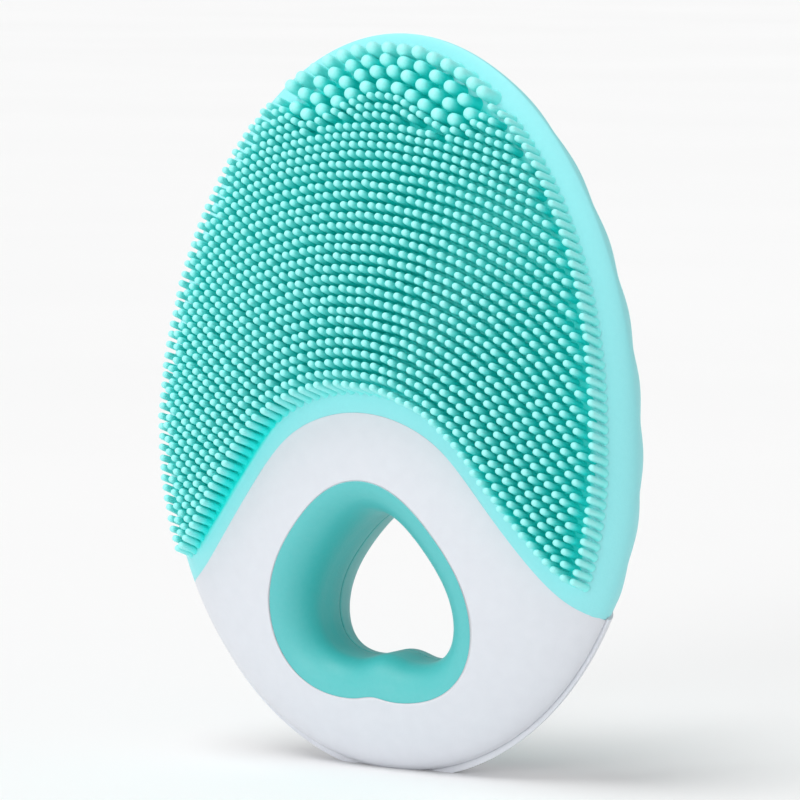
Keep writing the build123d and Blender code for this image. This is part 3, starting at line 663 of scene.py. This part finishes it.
def make_mark(name, x0, z0, radius, strokes):
    """Raised strokes on a button cap, each a line of (x, z) places with a rounded section and ends."""
    points, faces = [], []
    bends = np.linspace(0, math.pi, 9)
    ends = np.linspace(0, math.pi / 2, 6)[:-1]
    for stroke in strokes:
        line = np.array(stroke, dtype=float)
        along = np.gradient(line, axis=0)
        along /= np.linalg.norm(along, axis=1)[:, None]
        across = np.stack([-along[:, 1], along[:, 0]], axis=-1)
        stations = []
        for a in ends:
            stations.append((line[0] - along[0] * MARK_HALF * math.cos(a), across[0], math.sin(a)))
        stations += [(spot, side, 1.0) for spot, side in zip(line, across)]
        for a in ends[::-1]:
            stations.append((line[-1] + along[-1] * MARK_HALF * math.cos(a), across[-1], math.sin(a)))
        start = sum(len(section) for section in points)
        for spot, side, size in stations:
            size = max(size, 0.02)
            flat = spot + np.cos(bends)[:, None] * side * MARK_HALF * size
            x, z = x0 + flat[:, 0], z0 + flat[:, 1]
            lift = -MARK_SUNK + (MARK_RISE * size + MARK_SUNK) * np.sin(bends)
            points.append(np.stack([x, cap_y(x, z, x0, z0, radius) + lift, z], axis=-1))
        wide = len(bends)
        for row in range(len(stations) - 1):
            for c in range(wide):
                a, b = start + row * wide + c, start + row * wide + (c + 1) % wide
                faces.append((a, a + wide, b + wide, b))
        faces.append(tuple(range(start, start + wide)))
        last = start + (len(stations) - 1) * wide
        faces.append(tuple(range(last + wide - 1, last - 1, -1)))
    return make_object(name, np.concatenate(points), faces)


def straight(x_from, z_from, x_to, z_to):
    return np.linspace((x_from, z_from), (x_to, z_to), 9)


# ---------------------------------------------------------------- materials

def new_material(name):
    material = bpy.data.materials.new(name)
    material.use_nodes = True
    tree = material.node_tree
    return material, tree, tree.nodes["Principled BSDF"]


def noise(tree, scale, detail=4.0):
    place = tree.nodes.new("ShaderNodeTexCoord")
    made = tree.nodes.new("ShaderNodeTexNoise")
    made.inputs["Scale"].default_value = scale
    made.inputs["Detail"].default_value = detail
    tree.links.new(place.outputs["Object"], made.inputs["Vector"])
    return made.outputs["Fac"]


def ramp(tree, value, stops):
    made = tree.nodes.new("ShaderNodeValToRGB")
    while len(made.color_ramp.elements) < len(stops):
        made.color_ramp.elements.new(0.5)
    for element, (place, colour) in zip(made.color_ramp.elements, stops):
        element.position = place
        element.color = (*colour, 1)
    tree.links.new(value, made.inputs["Fac"])
    return made.outputs["Color"]


def spread(tree, value, low, high):
    made = tree.nodes.new("ShaderNodeMapRange")
    made.inputs["To Min"].default_value = low
    made.inputs["To Max"].default_value = high
    tree.links.new(value, made.inputs["Value"])
    return made.outputs["Result"]


def bumps(tree, shader, layers):
    """Fine relief from (noise scale, depth in metres) layers."""
    below = None
    for scale, depth in layers:
        made = tree.nodes.new("ShaderNodeBump")
        made.inputs["Distance"].default_value = depth
        tree.links.new(noise(tree, scale), made.inputs["Height"])
        if below:
            tree.links.new(below, made.inputs["Normal"])
        below = made.outputs["Normal"]
    tree.links.new(below, shader.inputs["Normal"])


def mottled(name, dark, light, rough, relief, scale=900.0, metallic=0.0):
    """A material whose colour and sheen wander a little over the surface."""
    material, tree, shader = new_material(name)
    fine = noise(tree, scale)
    tree.links.new(ramp(tree, fine, [(0.3, dark), (0.7, light)]), shader.inputs["Base Color"])
    tree.links.new(spread(tree, noise(tree, scale / 6), rough[0], rough[1]), shader.inputs["Roughness"])
    shader.inputs["Metallic"].default_value = metallic
    bumps(tree, shader, relief)
    return material


def soften(shader, weight, colour):
    shader.inputs["Subsurface Weight"].default_value = weight
    shader.inputs["Subsurface Radius"].default_value = [0.6 + c for c in colour]
    shader.inputs["Subsurface Scale"].default_value = 0.0015


def graded(name, stops, rough, relief, glow=None, subsurface=0.0):
    """A material whose colour runs with the mesh's shade attribute."""
    material, tree, shader = new_material(name)
    shade = tree.nodes.new("ShaderNodeAttribute")
    shade.attribute_name = "shade"
    wander = tree.nodes.new("ShaderNodeMath")
    wander.operation = "ADD"
    tree.links.new(shade.outputs["Fac"], wander.inputs[0])
    tree.links.new(spread(tree, noise(tree, 1500.0), -0.04, 0.04), wander.inputs[1])
    tree.links.new(ramp(tree, wander.outputs[0], stops), shader.inputs["Base Color"])
    tree.links.new(spread(tree, noise(tree, 300.0), rough[0], rough[1]), shader.inputs["Roughness"])
    if subsurface:
        soften(shader, subsurface, glow)
    bumps(tree, shader, relief)
    return material


SATIN = [(4000.0, 0.00002), (900.0, 0.00003)]
GRAIN = [(9000.0, 0.00001), (2500.0, 0.00001)]

AQUA = (0.31, 0.81, 0.84)
AQUA_STOPS = [      # bare margins up to 0.10; skin between the bristles from 0.90 on, darker deep teal as painted shade
    (0.0, (0.28, 0.77, 0.80)),
    (0.10, AQUA),
    (0.90, (0.005, 0.80, 0.75)),
    (1.0, (0.005, 0.76, 0.72)),
]
BRISTLE_STOPS = [   # from root to tip: a darker deep teal root as painted shade among the bristles, and a pale tip as painted light
    (0.0, (0.005, 0.84, 0.79)),
    (0.45, (0.03, 0.87, 0.83)),
    (1.0, (0.36, 0.92, 0.90)),
]
TEAL_STOPS = [      # from the front lip through the joint at 0.5 to the rear lip: painted highlights on the lips, darker deep teal down the front funnel as painted shade, greyer near the joint and in the rear
    (0.0, (0.30, 0.74, 0.76)),
    (0.02, (0.12, 0.53, 0.54)),
    (0.24, (0.045, 0.50, 0.49)),
    (0.38, (0.03, 0.50, 0.49)),
    (0.47, (0.06, 0.49, 0.48)),
    (0.56, (0.17, 0.53, 0.52)),
    (0.80, (0.12, 0.48, 0.48)),
    (0.98, (0.12, 0.52, 0.53)),
    (1.0, (0.30, 0.74, 0.76)),
]
SILICONE_ROUGH = (0.42, 0.52)

aqua = graded("aqua_silicone", AQUA_STOPS, SILICONE_ROUGH, SATIN, AQUA, 0.10)
bristle = graded("aqua_bristle", BRISTLE_STOPS, (0.40, 0.50), GRAIN)
teal = graded("teal_silicone", TEAL_STOPS, SILICONE_ROUGH, SATIN)
white = mottled("white_abs", (0.69, 0.71, 0.76), (0.71, 0.73, 0.78), (0.32, 0.40), GRAIN, scale=500.0)

# Slots that are seen only on the buttons or inside: dark and light colour, roughness, metallic.
INSIDE = {
    "seal_rubber": ((0.010, 0.010, 0.011), (0.018, 0.018, 0.020), 0.65, 0.0),
    "button_plastic": ((0.72, 0.74, 0.78), (0.75, 0.77, 0.81), 0.35, 0.0),
    "clear_plastic": ((0.78, 0.82, 0.84), (0.82, 0.86, 0.88), 0.25, 0.0),
    "led_plastic": ((0.80, 0.74, 0.50), (0.84, 0.78, 0.55), 0.40, 0.0),
    "circuit_board": ((0.004, 0.060, 0.022), (0.006, 0.085, 0.032), 0.38, 0.0),
    "switch_plastic": ((0.010, 0.010, 0.011), (0.016, 0.016, 0.018), 0.50, 0.0),
    "chip_plastic": ((0.006, 0.006, 0.007), (0.010, 0.010, 0.011), 0.55, 0.0),
    "screw_steel": ((0.42, 0.43, 0.45), (0.50, 0.51, 0.53), 0.32, 1.0),
    "grey_abs": ((0.16, 0.17, 0.18), (0.19, 0.20, 0.21), 0.50, 0.0),
    "motor_steel": ((0.38, 0.39, 0.41), (0.46, 0.47, 0.49), 0.28, 1.0),
    "shaft_steel": ((0.55, 0.56, 0.58), (0.62, 0.63, 0.65), 0.18, 1.0),
    "weight_brass": ((0.50, 0.34, 0.10), (0.58, 0.40, 0.13), 0.30, 1.0),
    "cell_foil": ((0.52, 0.53, 0.55), (0.60, 0.61, 0.63), 0.36, 1.0),
    "foam_rubber": ((0.020, 0.020, 0.023), (0.035, 0.035, 0.040), 0.85, 0.0),
    "coil_copper": ((0.45, 0.16, 0.06), (0.55, 0.21, 0.08), 0.35, 1.0),
    "ferrite": ((0.012, 0.011, 0.011), (0.020, 0.018, 0.018), 0.70, 0.0),
    "lead_red": ((0.36, 0.006, 0.004), (0.44, 0.010, 0.007), 0.45, 0.0),
    "lead_black": ((0.006, 0.006, 0.007), (0.012, 0.012, 0.014), 0.45, 0.0),
}
materials = {"aqua_silicone": aqua, "white_abs": white, "teal_silicone": teal}
for slot, (dark, light, rough, metallic) in INSIDE.items():
    materials[slot] = mottled(slot, dark, light, (rough - 0.05, rough + 0.06), GRAIN, metallic=metallic)
symbol_grey = mottled("symbol_grey", (0.20, 0.22, 0.24), (0.25, 0.27, 0.29), (0.42, 0.50), GRAIN)

for part in frame["record"]["subparts"]:
    node = frame["nodes"][part["node"]]
    node.data.materials.clear()
    node.data.materials.append(materials[part["material_slot"]])


def dress(piece, material, body, slot, *nodes):
    """Gives a piece its material and its body, and hides the CAD nodes it stands for; slot is not used."""
    piece.data.materials.append(material)
    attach(piece, body)
    if nodes:
        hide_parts(*nodes)


# ---------------------------------------------------------------- the model

dress(make_cover(), aqua, "body", "aqua_silicone", "silicone_cover")
dress(housing_shell("front_shell", True, FRONT_ARCH_Z), white, "body", "white_abs", "front_housing")
dress(make_liner("front_lining", True), teal, "body", "teal_silicone", "front_hole_liner")
dress(make_liner("rear_lining", False), teal, "body", "teal_silicone", "rear_hole_liner")

thick = thick_places()
thin = thin_places(thick)
thin = thin[np.argsort(thin[:, 1])]
print("bristles:", len(thin), "thin and", len(thick), "thick")
dress(make_bristles("thick_tufts", thick, THICK_RADIUS, THICK_LENGTH, 16), bristle, "body", "aqua_silicone",
      "thick_bristles")
for index, group in enumerate(np.array_split(thin, 3)):
    dress(make_bristles(f"thin_tufts_{index + 1}", group, THIN_RADIUS, THIN_LENGTH, 10), bristle, "body",
          "aqua_silicone", "thin_bristles")

turns = [math.radians(90 + a) for a in np.linspace(42, 318, 33)]
arc = [(POWER_RADIUS * math.cos(a), POWER_RADIUS * math.sin(a) - 0.1) for a in turns]
level = straight(-SIGN_HALF, 0, SIGN_HALF, 0)
MARKS = {
    "power": [arc, straight(0, 0.35, 0, 1.45)],
    "plus": [level, straight(0, -SIGN_HALF, 0, SIGN_HALF)],
    "minus": [level],
}
for name, body, x, z, radius in BUTTONS:
    dress(make_cap(f"{name}_cap", x, z, radius), materials["button_plastic"], body, "button_plastic",
          f"{name}_button")
    dress(make_mark(f"{name}_mark", x, z, radius, MARKS[name]), symbol_grey, body, "button_plastic")


# ---------------------------------------------------------------- floor, light and camera

def make_floor():
    """A wide pale floor that rises gently far away, where it hides the horizon. Radii are in metres."""
    columns = 96
    level_out, far_out, far_height = 6.0, 30.0, 3.0
    rings = []
    for r in (0.01, 0.3, 1.0, 4.0, level_out, 9.0, 12.0, 16.0, 20.0, 25.0, far_out):
        turn = np.linspace(0, 2 * math.pi, columns, endpoint=False)
        rise = far_height * max(0.0, (r - level_out) / (far_out - level_out)) ** 2
        ring = np.stack([r * np.cos(turn), r * np.sin(turn), np.full(columns, rise)], axis=-1)
        rings.append(ring / MM)
    points = np.concatenate(rings) - (0, SEAM_Y, 0)
    faces = grid_faces(len(rings), columns)
    faces.append(tuple(range(columns - 1, -1, -1)))
    return make_object("floor", points, faces)


floor = make_floor()
floor_paint = mottled("floor", (0.90, 0.90, 0.90), (0.92, 0.92, 0.92), (0.7, 0.8), GRAIN, scale=3.0)
floor.data.materials.append(floor_paint)


def soft_sun(name, heading, angle, strength):
    """A broad even light that shines along heading."""
    lamp = bpy.data.lights.new(name, "SUN")
    lamp.energy = strength
    lamp.angle = math.radians(angle)
    made = bpy.data.objects.new(name, lamp)
    made.rotation_euler = Vector(heading).to_track_quat("-Z", "Y").to_euler()
    bpy.context.scene.collection.objects.link(made)


soft_sun("overhead", (0.25, 0.30, -0.92), 40, 1.55)
soft_sun("frontal", (0.02, 0.95, -0.30), 25, 0.75)

world = bpy.data.worlds.new("studio")
world.use_nodes = True
world.node_tree.nodes["Background"].inputs["Color"].default_value = (1.0, 1.0, 1.0, 1)
world.node_tree.nodes["Background"].inputs["Strength"].default_value = 0.55
bpy.context.scene.world = world
bpy.context.scene.view_settings.view_transform = "Standard"

# The camera stands 0.8 m from the middle of the brush, to the right of it and a little above.
YAW = math.radians(31.72)
ELEVATION = math.radians(5.45)
ROLL = math.radians(0.45)
DISTANCE = 0.8
MIDDLE_Z = 0.054
lens = bpy.data.cameras.new("camera")
lens.lens = 247.2
lens.sensor_width = 36.0
lens.clip_end = 100.0
camera = bpy.data.objects.new("camera", lens)
level_right = Vector((math.cos(YAW), math.sin(YAW), 0))
back = Vector((
    math.sin(YAW) * math.cos(ELEVATION),
    -math.cos(YAW) * math.cos(ELEVATION),
    math.sin(ELEVATION),
))
level_up = back.cross(level_right)
right = level_right * math.cos(ROLL) + level_up * math.sin(ROLL)
up = level_up * math.cos(ROLL) - level_right * math.sin(ROLL)
place = Vector((0, SEAM_Y * MM, MIDDLE_Z)) + back * DISTANCE
camera.matrix_world = Matrix((
    (right.x, up.x, back.x, place.x),
    (right.y, up.y, back.y, place.y),
    (right.z, up.z, back.z, place.z),
    (0, 0, 0, 1),
))
bpy.context.scene.collection.objects.link(camera)
bpy.context.scene.camera = camera
